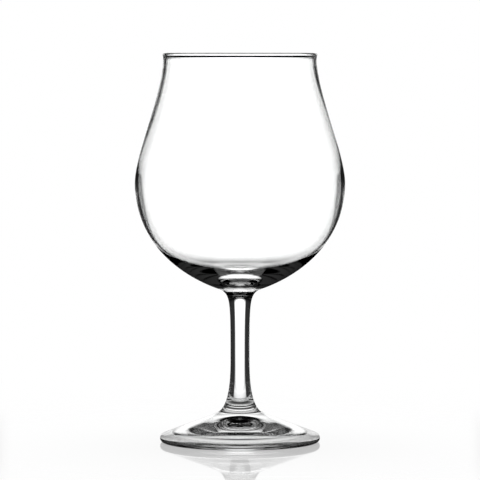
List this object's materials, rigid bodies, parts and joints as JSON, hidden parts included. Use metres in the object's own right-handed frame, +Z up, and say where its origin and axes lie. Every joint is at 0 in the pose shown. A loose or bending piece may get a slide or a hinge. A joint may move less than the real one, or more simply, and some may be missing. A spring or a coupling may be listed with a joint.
{
  "type": "stemmed beer glass",
  "caption": "Clear stemmed beer glass with a tulip bowl, beaded rim, thick base, slim solid stem and a shallow conical foot, for drinking and serving beer.",
  "frame": {"origin": "on the table, at the middle of the ring that the foot rests on", "axes": "+Z up along the axis of the glass, towards the rim; the glass is round, so +X and +Y are any two level directions"},
  "size_m": [0.0954, 0.0954, 0.1767],
  "materials": {
    "bowl_glass": "clear blown soda-lime glass, fire polished",
    "stem_glass": "clear drawn soda-lime glass, fire polished",
    "foot_glass": "clear pressed soda-lime glass, faintly worn on its resting ring"
  },
  "bodies": {
    "root": {"bowl": "bowl_glass", "stem": "stem_glass", "foot": "foot_glass"}
  },
  "joints": []
}
